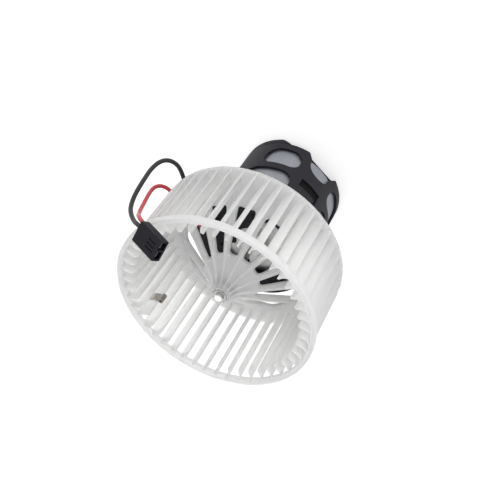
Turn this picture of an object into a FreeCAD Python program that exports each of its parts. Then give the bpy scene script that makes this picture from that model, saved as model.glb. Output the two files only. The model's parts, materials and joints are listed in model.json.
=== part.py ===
import FreeCAD, Part
import math
import os

Vec = FreeCAD.Vector
Z_AXIS = Vec(0, 0, 1)
ORIGIN = Vec(0, 0, 0)
os.makedirs("parts", exist_ok=True)

# Cage, a moulded cup that the motor drops into; it stands on its rear feet
CAGE_WALL = 1.6
CAN_ROOM = 0.5
FOOT_HEIGHT = 4.6
FOOT_ANGLE = 144.0
FOOT_LENGTH = 28.3
FOOT_SLOPE = 6.9
FLOOR_RECESS = 4.7
FLOOR_THICKNESS = 1.4
FLOOR_HOLE_RADIUS = 15.0
CAGE_SIDES = (0.0, 180.0)
RIM_CHAMFER = 0.6

# Openings in the cage wall: angle of the middle, width, lowest and highest point, corner radii
OVAL_WINDOW = {"angle": 113.5, "width": 28.5, "low": 11.8, "high": 32.0, "low_round": 10.5, "high_round": 7.0}
FRONT_WINDOW = {"angle": 120.0, "width": 38.0, "low": 38.5, "high": 63.2, "low_round": 9.0, "high_round": 5.0}
NOTCH_ANGLE = 71.0
NOTCH_WIDTH = 20.6
NOTCH_TOP = 24.1
NOTCH_ROUND = 9.5
NOTCH_FLARE = 5.3
NOTCH_FLARE_HEIGHT = 7.8
NOTCH_FLOOR_INSET = 0.9
LATCH_WIDTH = 19.0
LATCH_LOW = 36.2
LATCH_HEIGHT = 8.3
LATCH_KEY_WIDTH = 2.2
LATCH_KEY_HEIGHT = 5.5

# Motor can and end plate
CAN_RADIUS = 40.3
CAN_WALL = 1.8
CAN_LENGTH = 62.9
CAN_SHOULDER = 0.8
REAR_PAD = 0.4
REAR_BOSS_RADIUS = 10.0
REAR_BOSS_LENGTH = 6.8
BOSS_WALL = 1.5
PLATE_THICKNESS = 1.8
PLATE_HOLE_RADIUS = 3.0
PLATE_HOLE_CIRCLE = 23.5
PLATE_HOLE_COUNT = 4
PLATE_HOLE_ANGLE = 5.0
PLATE_STEP_RADIUS = 17.0
PLATE_STEP_HEIGHT = 1.2
PLATE_STEP_RUN = 1.4
FRONT_BOSS_RADIUS = 10.5
FRONT_BOSS_LENGTH = 7.0
SHAFT_PASSAGE = 0.6

# Cover that holds the motor down in the cage, and the rubber rings
FRONT_PAD = 2.6
FRONT_PAD_WIDTH = 6.5
FRONT_PAD_INSET = 4.8
COVER_THICKNESS = 2.5
COVER_OVERHANG = 5.1
COVER_HOLE_INSET = 0.5
COVER_EDGE_ROUND = 0.8
COVER_LIP = 1.8
COVER_LIP_WALL = 1.6
COVER_FIT = 0.15
COVER_SLOT_COUNT = 8
COVER_SLOT_SPAN = 16.0
COVER_SLOT_GAP = 0.5
COVER_TONGUE_INNER = 15.0
COVER_TONGUE_SPAN = 100.0
SIDE_PAD_LOW = 34.5
SIDE_PAD_HEIGHT = 17.5
SIDE_PAD_SPAN = 34.0

# Shaft and bearings
SHAFT_RADIUS = 3.0
SHAFT_END_CHAMFER = 0.5
SHAFT_PROUD_OF_HUB = 3.2
BEARING_RADIUS = 7.2
BEARING_LENGTH = 5.8
RUNNING_CLEARANCE = 0.04
RETAINER_THICKNESS = 0.5
WASHER_RADIUS = 5.0
WASHER_THICKNESS = 0.8

# Armature, magnets and commutator
AIR_GAP = 0.8
MAGNET_THICKNESS = 4.4
MAGNET_LENGTH = 42.0
MAGNET_SPAN = 132.0
MAGNET_FLOOR_GAP = 5.0
CORE_LENGTH = 36.0
CORE_FLOOR_GAP = 9.0
CORE_SLOTS = 12
CORE_HUB_RADIUS = 9.0
SLOT_MOUTH = 2.0
SLOT_BOTTOM_RADIUS = 13.0
SLOT_TOP_GAP = 2.4
SLOT_SHARE = 0.52
WINDING_FIT = 0.15
WINDING_OVERHANG_REAR = 6.0
WINDING_OVERHANG_FRONT = 4.4
COMMUTATOR_RADIUS = 10.5
COMMUTATOR_LENGTH = 8.6
COMMUTATOR_GROOVE = 0.5

# Brush gear
BRUSH_WIDTH = 6.0
BRUSH_HEIGHT = 5.0
BRUSH_LENGTH = 10.0
BRUSH_TO_COMMUTATOR = 0.06
BRUSH_SLIP = 0.12
BOX_WALL = 0.5
BOX_START_RADIUS = 12.2
SPRING_ROOM = 6.8
SPRING_RADIUS = 1.9
SPRING_WIRE = 0.35
SPRING_TURNS = 5
BRUSH_PLATE_THICKNESS = 2.0
BRUSH_PLATE_FIT = 0.25
BRUSH_PLATE_DROP = 0.8
BRUSH_PLATE_HOLE = 12.6
CHOKE_RADIUS = 2.6
CHOKE_LENGTH = 12.0
CHOKE_CIRCLE = 23.0
CAPACITOR_SIZE = (9.0, 4.0, 4.6)

# Fan wheel: front ring, blades, rear plate and windowed dome
WHEEL_GAP = 5.7
WHEEL_HEIGHT = 67.3
RING_RADIUS = 75.0
RING_WIDTH = 3.5
RING_HEIGHT = 6.0
RING_ROUND = 0.9
BLADE_COUNT = 53
BLADE_PHASE = 1.0
BLADE_INSET = 2.7
BLADE_DEPTH = 11.1
DOME_INSET = 3.6
BLADE_THICKNESS = 1.15
BLADE_LEAN = 15.0
BLADE_CAMBER = 1.1
BLADE_TOP_SET = 0.8
BLADE_CHAMFER_DEPTH = 12.0
REAR_PLATE_THICKNESS = 2.0
DOME_SKIN = 4.2
HUB_RADIUS = 6.9
HUB_SET = 13.0
HUB_LENGTH = 34.0
INSERT_RADIUS = 4.9
INSERT_LENGTH = 26.0
WINDOW_COUNT = 13
WINDOW_SPAN = 18.0
WINDOW_INNER_SHARE = 0.361
WINDOW_OUTER_SHARE = 0.8247
WINDOW_ROUND = 2.4
RIB_WIDTH = 1.5
RIB_HEIGHT = 1.7

# Balance clip pushed onto one blade
CLIP_ANGLE = 232.0
CLIP_LENGTH = 6.5
CLIP_REACH = 7.5
CLIP_SHEET = 0.6
CLIP_BOW_RADIUS = 2.1
CLIP_BELOW_FRONT = 18.5
CLIP_FIT = 0.02

# Leads and two-way connector; places are measured from the wheel's front plane
BLACK_DIAMETER = 3.3
RED_DIAMETER = 3.0
LEAD_OVER_COVER = 0.4
LEAD_SUNK = 0.4
LEAD_EXIT_RADIUS = 39.0
LEAD_EXIT_ANGLE = 193.0
LEAD_HEADING = 168.0
ROUTE_RING_RADIUS = 75.0
LEAD_EXIT_PITCH = 7.0
EXIT_BLOCK_LENGTH = 9.0
EXIT_BLOCK_WIDTH = 15.0
EXIT_BLOCK_HEIGHT = 4.4
PLUG_LENGTH = 23.0
PLUG_WIDTH = 15.2
PLUG_DEPTH = 7.4
PLUG_WALL = 1.2
PLUG_CORNER = Vec(-68.1, 29.7, 13.2)
PLUG_ALONG = Vec(0.8218, 0.2823, 0.4950)
PLUG_ACROSS = Vec(-0.0440, 0.8980, -0.4378)
CAVITY_DEPTH = 12.0
GROOVE_COUNT = 3
GROOVE_START = 12.5
GROOVE_LENGTH = 8.0
GROOVE_WIDTH = 0.9
GROOVE_DEPTH = 0.6
GROOVE_FIRST = 4.4
GROOVE_PITCH = 2.9
SEAL_LENGTH = 1.6
TERMINAL_WIDTH = 4.2
TERMINAL_HEIGHT = 2.0
TERMINAL_SHEET = 0.5
TERMINAL_SETBACK = 2.0
BLACK_PORT = 0.62
RED_PORT = 0.87
BLACK_APPROACH = 4.5
RED_APPROACH = 8.0

# Heights of the stack, from the feet up
RIM_Z = FOOT_HEIGHT
FLOOR_Z = RIM_Z + FLOOR_RECESS
FLOOR_TOP = FLOOR_Z + FLOOR_THICKNESS
CAN_REAR = FLOOR_TOP + REAR_PAD
CAN_FRONT = CAN_REAR + CAN_LENGTH
PLATE_TOP = CAN_FRONT + PLATE_THICKNESS
COVER_Z = PLATE_TOP + FRONT_PAD
COVER_TOP = COVER_Z + COVER_THICKNESS
WHEEL_REAR = COVER_TOP + WHEEL_GAP
WHEEL_FRONT = WHEEL_REAR + WHEEL_HEIGHT
HUB_TOP = WHEEL_FRONT - HUB_SET
CAN_INNER = CAN_RADIUS - CAN_WALL
CAGE_INNER = CAN_RADIUS + CAN_ROOM
CAGE_RADIUS = CAGE_INNER + CAGE_WALL
COVER_RADIUS = CAGE_RADIUS + COVER_OVERHANG
FRONT_PAD_OUTER = CAN_RADIUS - FRONT_PAD_INSET
FRONT_PAD_INNER = FRONT_PAD_OUTER - FRONT_PAD_WIDTH
COVER_HOLE_RADIUS = FRONT_PAD_INNER - COVER_HOLE_INSET
BLADE_OUTER = RING_RADIUS - BLADE_INSET
BLADE_INNER = BLADE_OUTER - BLADE_DEPTH
DOME_RIM = BLADE_INNER - DOME_INSET
WINDOW_INNER = DOME_RIM * WINDOW_INNER_SHARE
WINDOW_OUTER = DOME_RIM * WINDOW_OUTER_SHARE
CORE_RADIUS = CAN_INNER - MAGNET_THICKNESS - AIR_GAP
CORE_Z = CAN_REAR + CAN_WALL + CORE_FLOOR_GAP
CORE_TOP = CORE_Z + CORE_LENGTH
BRUSH_PLATE_TOP = CAN_FRONT - BRUSH_PLATE_DROP
BRUSH_PLATE_Z = BRUSH_PLATE_TOP - BRUSH_PLATE_THICKNESS
BOX_HEIGHT = BRUSH_HEIGHT + 2 * BRUSH_SLIP + 2 * BOX_WALL
BRUSH_MIDDLE_Z = BRUSH_PLATE_Z - BOX_HEIGHT / 2
BRUSH_FRONT = COMMUTATOR_RADIUS + BRUSH_TO_COMMUTATOR
BRUSH_BACK = BRUSH_FRONT + BRUSH_LENGTH


def polar(radius, degrees, z=0.0):
    """A point at a radius and angle about the spin axis."""
    turn = math.radians(degrees)
    return Vec(radius * math.cos(turn), radius * math.sin(turn), z)


def turned(shape, degrees):
    """A copy turned about the spin axis."""
    copy = shape.copy()
    copy.rotate(ORIGIN, Z_AXIS, degrees)
    return copy


def disc(radius, low, high, centre=ORIGIN):
    """A cylinder between two heights."""
    return Part.makeCylinder(radius, high - low, Vec(centre.x, centre.y, low))


def ring(outer, inner, low, high):
    """A flat ring between two heights."""
    return disc(outer, low, high).cut(disc(inner, low, high))


def block(size_x, size_y, low, high, centre=ORIGIN):
    """A box with its middle on a point in plan."""
    corner = Vec(centre.x - size_x / 2, centre.y - size_y / 2, low)
    return Part.makeBox(size_x, size_y, high - low, corner)


def lathe(points):
    """A solid of revolution from (radius, height) corners."""
    corners = [Vec(radius, 0, z) for radius, z in points]
    outline = Part.makePolygon(corners + corners[:1])
    return Part.Face(outline).revolve(ORIGIN, Z_AXIS, 360)


def sector(outer, inner, low, high, middle, span):
    """Part of a flat ring, centred on an angle."""
    start = turned(Part.Face(Part.makePolygon([
        Vec(inner, 0, low), Vec(outer, 0, low), Vec(outer, 0, high), Vec(inner, 0, high), Vec(inner, 0, low)
    ])), middle - span / 2)
    return start.revolve(ORIGIN, Z_AXIS, span)


def rounded_outline(width, low, high, low_round, high_round):
    """A closed outline in the YZ plane with separate corner radii low and high."""
    half = width / 2
    slant = math.sqrt(0.5)
    edges = []
    corners = [
        (Vec(0, -half, low), low_round, 1, 1), (Vec(0, half, low), low_round, -1, 1),
        (Vec(0, half, high), high_round, -1, -1), (Vec(0, -half, high), high_round, 1, -1),
    ]
    ends = []
    for index, (corner, radius, side, up) in enumerate(corners):
        centre = corner + Vec(0, side * radius, up * radius)
        on_side = centre + Vec(0, -side * radius, 0)
        on_level = centre + Vec(0, 0, -up * radius)
        middle = centre + Vec(0, -side * radius * slant, -up * radius * slant)
        first, last = (on_side, on_level) if index % 2 == 0 else (on_level, on_side)
        ends.append((first, last))
        edges.append(Part.Arc(first, middle, last).toShape())
    for index in range(4):
        start = ends[index][1]
        finish = ends[(index + 1) % 4][0]
        if start.distanceToPoint(finish) > 1e-6:
            edges.append(Part.LineSegment(start, finish).toShape())
    return Part.Wire(Part.__sortEdges__(edges))


def wall_cutter(shape, angle, inner, outer):
    """A prism through the cage wall with a rounded outline, at an angle."""
    outline = rounded_outline(shape["width"], shape["low"], shape["high"], shape["low_round"], shape["high_round"])
    outline.translate(Vec(inner, 0, 0))
    return turned(Part.Face(outline).extrude(Vec(outer - inner, 0, 0)), angle)


def tube_path(points, share=0.45):
    """Straight runs joined by the largest tangent arcs that the runs allow, and the arc radii."""
    edges = []
    radii = []
    last = points[0]
    for index in range(1, len(points) - 1):
        before, here, after = points[index - 1:index + 2]
        back = before - here
        ahead = after - here
        short = min(back.Length, ahead.Length)
        back.normalize()
        ahead.normalize()
        turn = math.pi - back.getAngle(ahead)
        reach = share * short
        radius = reach / math.tan(turn / 2)
        start = here + back * reach
        finish = here + ahead * reach
        bisector = back + ahead
        bisector.normalize()
        centre_distance = math.hypot(reach, radius)
        middle = here + bisector * (centre_distance - radius)
        edges.append(Part.LineSegment(last, start).toShape())
        edges.append(Part.Arc(start, middle, finish).toShape())
        radii.append(round(radius, 1))
        last = finish
    edges.append(Part.LineSegment(last, points[-1]).toShape())
    return Part.Wire(edges), radii


def tube(points, diameter, name):
    """A round lead along a route of points."""
    path, radii = tube_path(points)
    direction = points[1] - points[0]
    section = Part.Wire(Part.makeCircle(diameter / 2, points[0], direction))
    solid = path.makePipeShell([section], True, False)
    expected = math.pi * diameter ** 2 / 4 * path.Length
    print(name, "arc radii", radii, "length", round(path.Length, 1), "volume share", round(solid.Volume / expected, 4))
    return solid


def save(name, shape):
    """Writes one sub-part as a STEP file."""
    print(name, "solids", len(shape.Solids), "valid", shape.isValid(), "volume", round(shape.Volume, 1))
    shape.exportStep("parts/" + name + ".step")


# Motor cage: cup with a recessed floor, windows, latch slots and feet

def cage_floor():
    """The floor disc, cut straight across each rear notch."""
    floor = ring(CAGE_RADIUS, FLOOR_HOLE_RADIUS, FLOOR_Z, FLOOR_TOP)
    chord = CAN_RADIUS - NOTCH_FLOOR_INSET
    for side in CAGE_SIDES:
        slice_box = Part.makeBox(CAGE_RADIUS, 2 * CAGE_RADIUS, FLOOR_THICKNESS, Vec(chord, -CAGE_RADIUS, FLOOR_Z))
        floor = floor.cut(turned(slice_box, NOTCH_ANGLE + side))
    return floor


def cage_foot():
    """A prism for one foot with sloped ends, cut to the wall's curve later."""
    half = FOOT_LENGTH / 2
    corners = [Vec(0, -half, 0), Vec(0, half, 0), Vec(0, half + FOOT_SLOPE, RIM_Z), Vec(0, -half - FOOT_SLOPE, RIM_Z)]
    prism = Part.Face(Part.makePolygon(corners + corners[:1])).extrude(Vec(CAGE_RADIUS, 0, 0))
    return prism.common(ring(CAGE_RADIUS, CAGE_INNER, 0.0, RIM_Z))


def notch_cutter():
    """A prism for one rear notch: arched at its top and flared towards the rim."""
    arch = {"width": NOTCH_WIDTH, "low": 0.0, "high": NOTCH_TOP, "low_round": 1.0, "high_round": NOTCH_ROUND}
    half = NOTCH_WIDTH / 2
    wide = half + NOTCH_FLARE
    start = RIM_Z + NOTCH_FLARE_HEIGHT
    corners = [Vec(0, -half, start), Vec(0, half, start), Vec(0, wide, RIM_Z), Vec(0, wide, 0.0),
               Vec(0, -wide, 0.0), Vec(0, -wide, RIM_Z)]
    flare = Part.Face(Part.makePolygon(corners + corners[:1])).extrude(Vec(CAGE_RADIUS, 0, 0))
    flare.translate(Vec(CAGE_RADIUS / 2, 0, 0))
    return turned(flare, NOTCH_ANGLE).fuse(wall_cutter(arch, NOTCH_ANGLE, CAGE_RADIUS / 2, CAGE_RADIUS * 1.5))


def mirrored(shape):
    """The same opening on the other side of the notch."""
    return dict(shape, angle=2 * NOTCH_ANGLE - shape["angle"])


def motor_cage():
    """The cup of the cage, in one moulding."""
    wall = lathe([
        (CAGE_INNER, RIM_Z), (CAGE_RADIUS - RIM_CHAMFER, RIM_Z), (CAGE_RADIUS, RIM_Z + RIM_CHAMFER),
        (CAGE_RADIUS, COVER_Z), (CAGE_INNER, COVER_Z),
    ])
    slot_span = 2 * math.degrees(math.asin(LATCH_WIDTH / 2 / CAGE_RADIUS))
    key_span = math.degrees(LATCH_KEY_WIDTH / CAGE_RADIUS)
    key_angle = NOTCH_ANGLE - (slot_span - key_span) / 2
    slot_top = LATCH_LOW + LATCH_HEIGHT
    slot = sector(CAGE_RADIUS * 1.5, CAGE_RADIUS / 2, LATCH_LOW, slot_top, NOTCH_ANGLE, slot_span)
    key = sector(CAGE_RADIUS * 1.5, CAGE_RADIUS / 2, LATCH_LOW, slot_top + LATCH_KEY_HEIGHT, key_angle, key_span)
    foot = cage_foot()
    for side in CAGE_SIDES:
        for window in (OVAL_WINDOW, FRONT_WINDOW, mirrored(OVAL_WINDOW), mirrored(FRONT_WINDOW)):
            wall = wall.cut(wall_cutter(window, window["angle"] + side, CAGE_RADIUS / 2, CAGE_RADIUS * 1.5))
        wall = wall.cut([turned(notch_cutter(), side), turned(slot, side), turned(key, side)])
        wall = wall.fuse(turned(foot, FOOT_ANGLE + side))
    return wall.fuse(cage_floor()).removeSplitter()


def cage_cover():
    """The ring that closes the cage, with air slots, a locating lip, a tongue over the brushes and the lead exit."""
    cover = disc(COVER_RADIUS, COVER_Z, COVER_TOP)
    cover = cover.makeFillet(COVER_EDGE_ROUND, [edge for edge in cover.Edges if edge.BoundBox.ZMin > COVER_Z + 0.1])
    cover = cover.cut(disc(COVER_HOLE_RADIUS, COVER_Z, COVER_TOP))
    lip_outer = CAGE_INNER - COVER_FIT
    lip_inner = lip_outer - COVER_LIP_WALL
    cover = cover.fuse(ring(lip_outer, lip_inner, COVER_Z - COVER_LIP, COVER_Z))
    for index in range(COVER_SLOT_COUNT):
        angle = LEAD_HEADING + 360.0 * (index + 0.5) / COVER_SLOT_COUNT
        slot = sector(lip_inner, FRONT_PAD_OUTER + COVER_SLOT_GAP, COVER_Z, COVER_TOP, angle, COVER_SLOT_SPAN)
        cover = cover.cut(slot)
    tongue = sector(COVER_HOLE_RADIUS + 0.1, COVER_TONGUE_INNER, COVER_Z, COVER_TOP, LEAD_HEADING, COVER_TONGUE_SPAN)
    block_middle = Vec(-EXIT_BLOCK_LENGTH / 2, 0, 0)
    exit_block = block(EXIT_BLOCK_LENGTH, EXIT_BLOCK_WIDTH, COVER_TOP, COVER_TOP + EXIT_BLOCK_HEIGHT, block_middle)
    exit_block = exit_block.makeFillet(1.0, [edge for edge in exit_block.Edges if edge.BoundBox.ZMin > COVER_TOP + 1])
    exit_block = turned(exit_block, LEAD_HEADING)
    exit_block.translate(polar(LEAD_EXIT_RADIUS, LEAD_EXIT_ANGLE))
    return cover.fuse([tongue, exit_block]).removeSplitter()


# Motor body: can, end plate, magnets and bearings

def motor_can():
    """The drawn steel can with its rear bearing boss."""
    boss_low = CAN_REAR - REAR_BOSS_LENGTH
    inner_boss = REAR_BOSS_RADIUS - BOSS_WALL
    outer = disc(CAN_RADIUS, CAN_REAR, CAN_FRONT)
    rear_edges = [edge for edge in outer.Edges if edge.BoundBox.ZMax < CAN_REAR + 0.1 and edge.Length > CAN_RADIUS]
    outer = outer.makeFillet(CAN_SHOULDER, rear_edges)
    outer = outer.fuse(disc(REAR_BOSS_RADIUS, boss_low, CAN_REAR + CAN_WALL))
    hollow = disc(CAN_INNER, CAN_REAR + CAN_WALL, CAN_FRONT)
    hollow = hollow.fuse(disc(inner_boss, boss_low + BOSS_WALL, CAN_REAR + CAN_WALL))
    return outer.cut(hollow).removeSplitter()


def end_plate():
    """The steel plate on the brush end, with air holes, a pressed step and the front bearing boss."""
    boss_top = PLATE_TOP + FRONT_BOSS_LENGTH
    step_top = PLATE_TOP + PLATE_STEP_HEIGHT
    inner_boss = FRONT_BOSS_RADIUS - BOSS_WALL
    step = PLATE_STEP_RADIUS - PLATE_STEP_RUN
    plate = lathe([
        (SHAFT_RADIUS + SHAFT_PASSAGE, boss_top - BOSS_WALL), (SHAFT_RADIUS + SHAFT_PASSAGE, boss_top),
        (FRONT_BOSS_RADIUS - BOSS_WALL, boss_top), (FRONT_BOSS_RADIUS, boss_top - BOSS_WALL),
        (FRONT_BOSS_RADIUS, step_top), (step, step_top), (PLATE_STEP_RADIUS, PLATE_TOP), (CAN_RADIUS, PLATE_TOP),
        (CAN_RADIUS, CAN_FRONT), (PLATE_STEP_RADIUS, CAN_FRONT), (step, CAN_FRONT + PLATE_STEP_HEIGHT),
        (inner_boss, CAN_FRONT + PLATE_STEP_HEIGHT), (inner_boss, boss_top - BOSS_WALL),
    ])
    for index in range(PLATE_HOLE_COUNT):
        centre = polar(PLATE_HOLE_CIRCLE, PLATE_HOLE_ANGLE + 360.0 * index / PLATE_HOLE_COUNT)
        plate = plate.cut(disc(PLATE_HOLE_RADIUS, CAN_FRONT, PLATE_TOP, centre))
    return plate


def bearing(low):
    """A plain bush with a barrel-shaped outside."""
    bulge = BEARING_LENGTH * 0.42
    middle = low + BEARING_LENGTH / 2
    bore = SHAFT_RADIUS + RUNNING_CLEARANCE
    shape = lathe([
        (bore, low), (BEARING_RADIUS * 0.72, low), (BEARING_RADIUS, middle - bulge / 2),
        (BEARING_RADIUS, middle + bulge / 2), (BEARING_RADIUS * 0.72, low + BEARING_LENGTH), (bore, low + BEARING_LENGTH),
    ])
    return shape


def bearing_retainer(outer, low, high):
    """A thin pressed ring whose centre is cut into spring fingers."""
    shape = ring(outer, SHAFT_RADIUS + 1.6, low, high)
    for index in range(6):
        gap = block(3.0, 1.0, low, high, Vec(SHAFT_RADIUS + 2.2, 0, 0))
        shape = shape.cut(turned(gap, 60.0 * index))
    return shape


def magnet(angle):
    """One arc magnet against the can wall."""
    low = CAN_REAR + CAN_WALL + MAGNET_FLOOR_GAP
    return sector(CAN_INNER, CAN_INNER - MAGNET_THICKNESS, low, low + MAGNET_LENGTH, angle, MAGNET_SPAN)


def magnet_clip(angle):
    """A U-shaped spring that spreads the magnets."""
    low = CAN_REAR + CAN_WALL + MAGNET_FLOOR_GAP
    gap = (180.0 - MAGNET_SPAN) * 0.98
    sheet = math.degrees(1.2 / CAN_INNER)
    inner = CAN_INNER - MAGNET_THICKNESS
    back = sector(CAN_INNER, CAN_INNER - 1.0, low, low + MAGNET_LENGTH, angle, gap)
    legs = [sector(CAN_INNER, inner, low, low + MAGNET_LENGTH, angle + side * (gap - sheet) / 2, sheet)
            for side in (-1, 1)]
    return back.fuse(legs).removeSplitter()


# Rotor: shaft, armature, commutator, washers

def rotor_shaft():
    """The ground shaft from the rear bearing to the wheel's hub."""
    low = CAN_REAR - REAR_BOSS_LENGTH + BOSS_WALL + 0.8
    top = HUB_TOP + SHAFT_PROUD_OF_HUB
    chamfer = SHAFT_END_CHAMFER
    return lathe([
        (0, low), (SHAFT_RADIUS - chamfer, low), (SHAFT_RADIUS, low + chamfer),
        (SHAFT_RADIUS, top - chamfer), (SHAFT_RADIUS - chamfer, top), (0, top),
    ])


def slot_cutter(low, high, fit):
    """The wedge-shaped room for one coil side, narrowed by a fit on each side."""
    pitch = 2 * math.pi / CORE_SLOTS
    inner = SLOT_BOTTOM_RADIUS + fit
    outer = CORE_RADIUS - SLOT_TOP_GAP - fit
    half_inner = inner * math.tan(pitch * SLOT_SHARE / 2) - fit
    half_outer = outer * math.tan(pitch * SLOT_SHARE / 2) - fit
    outline = Part.makePolygon([
        Vec(inner, -half_inner, low), Vec(outer, -half_outer, low),
        Vec(outer, half_outer, low), Vec(inner, half_inner, low), Vec(inner, -half_inner, low),
    ])
    return Part.Face(outline).extrude(Vec(0, 0, high - low))


def armature_core():
    """The slotted lamination stack."""
    core = ring(CORE_RADIUS, SHAFT_RADIUS, CORE_Z, CORE_TOP)
    for index in range(CORE_SLOTS):
        room = slot_cutter(CORE_Z, CORE_TOP, 0.0)
        mouth = block(2 * SLOT_TOP_GAP, SLOT_MOUTH, CORE_Z, CORE_TOP, Vec(CORE_RADIUS - SLOT_TOP_GAP / 2, 0, 0))
        core = core.cut(turned(room.fuse(mouth), 360.0 * index / CORE_SLOTS))
    return core


def armature_winding():
    """The coils: filled slots joined by the end turns."""
    outer = CORE_RADIUS - SLOT_TOP_GAP - WINDING_FIT
    inner = SLOT_BOTTOM_RADIUS + WINDING_FIT
    rear = CORE_Z - WINDING_OVERHANG_REAR
    front = CORE_TOP + WINDING_OVERHANG_FRONT
    ends = [
        lathe([(inner, rear + 1.5), (inner + 1.5, rear), (outer - 2.5, rear), (outer, rear + 2.5), (outer, CORE_Z), (inner, CORE_Z)]),
        lathe([(inner, CORE_TOP), (outer, CORE_TOP), (outer, front - 2.0), (outer - 2.0, front), (inner + 1.5, front), (inner, front - 1.5)]),
    ]
    sides = [turned(slot_cutter(CORE_Z - 0.5, CORE_TOP + 0.5, WINDING_FIT), 360.0 * index / CORE_SLOTS)
             for index in range(CORE_SLOTS)]
    return ends[0].fuse([ends[1]] + sides)


def commutator():
    """The copper commutator with grooves between its bars."""
    low = CORE_TOP + WINDING_OVERHANG_FRONT - 0.4
    high = low + COMMUTATOR_LENGTH
    shape = ring(COMMUTATOR_RADIUS, SHAFT_RADIUS, low, high)
    for index in range(CORE_SLOTS):
        groove = block(2 * COMMUTATOR_GROOVE, COMMUTATOR_GROOVE, low, high, Vec(COMMUTATOR_RADIUS, 0, 0))
        shape = shape.cut(turned(groove, 360.0 * (index + 0.5) / CORE_SLOTS))
    return shape


def rear_bearing_low():
    """Height of the rear bearing's lower face."""
    return CAN_REAR - REAR_BOSS_LENGTH + BOSS_WALL + 1.6


def front_bearing_low():
    """Height of the front bearing's lower face."""
    return PLATE_TOP + FRONT_BOSS_LENGTH - BOSS_WALL - BEARING_LENGTH - 0.4


def shaft_washers():
    """Washers that take up the end play beside the two bearings."""
    rear = rear_bearing_low() + BEARING_LENGTH + 1.2
    front = front_bearing_low() - 1.4
    return Part.makeCompound([
        ring(WASHER_RADIUS, SHAFT_RADIUS, rear, rear + WASHER_THICKNESS),
        ring(WASHER_RADIUS, SHAFT_RADIUS, front, front + WASHER_THICKNESS),
    ])


# Brush gear

def brush_plate():
    """The insulating plate that carries the brush boxes, chokes and capacitor."""
    plate = ring(CAN_INNER - BRUSH_PLATE_FIT, BRUSH_PLATE_HOLE, BRUSH_PLATE_Z, BRUSH_PLATE_TOP)
    for angle in (45, 135, 225, 315):
        plate = plate.cut(disc(3.0, BRUSH_PLATE_Z, BRUSH_PLATE_TOP, polar(CHOKE_CIRCLE, angle)))
    return plate


def brush_box(angle):
    """The folded brass guide of one brush, closed at its outer end."""
    inner_width = BRUSH_WIDTH + 2 * BRUSH_SLIP
    inner_height = BRUSH_HEIGHT + 2 * BRUSH_SLIP
    stop = BRUSH_BACK + SPRING_ROOM
    outside = Part.makeBox(stop + BOX_WALL - BOX_START_RADIUS, inner_width + 2 * BOX_WALL, BOX_HEIGHT,
                           Vec(BOX_START_RADIUS, -inner_width / 2 - BOX_WALL, BRUSH_MIDDLE_Z - BOX_HEIGHT / 2))
    inside = Part.makeBox(stop - BOX_START_RADIUS, inner_width, inner_height,
                          Vec(BOX_START_RADIUS, -inner_width / 2, BRUSH_MIDDLE_Z - inner_height / 2))
    return turned(outside.cut(inside), angle)


def brush(angle):
    """One carbon brush with its face hollowed to the commutator."""
    bar = Part.makeBox(BRUSH_LENGTH + 2, BRUSH_WIDTH, BRUSH_HEIGHT,
                       Vec(BRUSH_FRONT - 2, -BRUSH_WIDTH / 2, BRUSH_MIDDLE_Z - BRUSH_HEIGHT / 2))
    face = disc(BRUSH_FRONT, BRUSH_MIDDLE_Z - BRUSH_HEIGHT, BRUSH_MIDDLE_Z + BRUSH_HEIGHT)
    return turned(bar.cut(face), angle)


def brush_spring(angle):
    """The coil spring behind one brush."""
    room = SPRING_ROOM - 2 * SPRING_WIRE - 0.2
    helix = Part.makeHelix(room / SPRING_TURNS, room, SPRING_RADIUS)
    section = Part.Wire(Part.makeCircle(SPRING_WIRE, Vec(SPRING_RADIUS, 0, 0), Vec(0, 1, 0)))
    coil = Part.Wire(helix).makePipeShell([section], True, True)
    coil.rotate(ORIGIN, Vec(0, 1, 0), 90)
    coil.translate(Vec(BRUSH_BACK + SPRING_WIRE + 0.1, 0, BRUSH_MIDDLE_Z))
    return turned(coil, angle)


def choke(angle):
    """A suppression choke: wire turns on a ferrite rod, under the plate."""
    centre_z = BRUSH_PLATE_Z - CHOKE_RADIUS - 0.1
    core = Part.makeCylinder(CHOKE_RADIUS * 0.62, CHOKE_LENGTH, Vec(CHOKE_CIRCLE, -CHOKE_LENGTH / 2, centre_z), Vec(0, 1, 0))
    turns = []
    for index in range(6):
        start = -CHOKE_LENGTH * 0.36 + index * CHOKE_LENGTH * 0.72 / 6
        turns.append(Part.makeCylinder(CHOKE_RADIUS, CHOKE_LENGTH * 0.1, Vec(CHOKE_CIRCLE, start, centre_z), Vec(0, 1, 0)))
    return turned(core.fuse(turns), angle)


def capacitor():
    """The suppression capacitor under the plate."""
    length, width, height = CAPACITOR_SIZE
    body = block(width, length, BRUSH_PLATE_Z - height - 0.1, BRUSH_PLATE_Z - 0.1, Vec(CHOKE_CIRCLE, 0, 0))
    body = body.makeFillet(0.6, body.Edges)
    return turned(body, 225)


# Rubber rings

def front_damper():
    """The rubber ring between the end plate and the cover."""
    middle = (FRONT_PAD_INNER + FRONT_PAD_OUTER) / 2
    shape = ring(FRONT_PAD_OUTER, FRONT_PAD_INNER, PLATE_TOP, COVER_Z)
    groove = ring(middle + 0.8, middle - 0.8, COVER_Z - 0.7, COVER_Z)
    return shape.cut(groove)


def rear_damper():
    """The rubber bush that seats the can's rear boss in the cage floor."""
    lip = FLOOR_HOLE_RADIUS + 3.0
    return lathe([
        (REAR_BOSS_RADIUS, FLOOR_Z - 2.0), (FLOOR_HOLE_RADIUS + 1.2, FLOOR_Z - 2.0), (lip, FLOOR_Z - 0.9), (lip, FLOOR_Z),
        (FLOOR_HOLE_RADIUS, FLOOR_Z), (FLOOR_HOLE_RADIUS, CAN_REAR), (REAR_BOSS_RADIUS, CAN_REAR),
    ])


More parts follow.
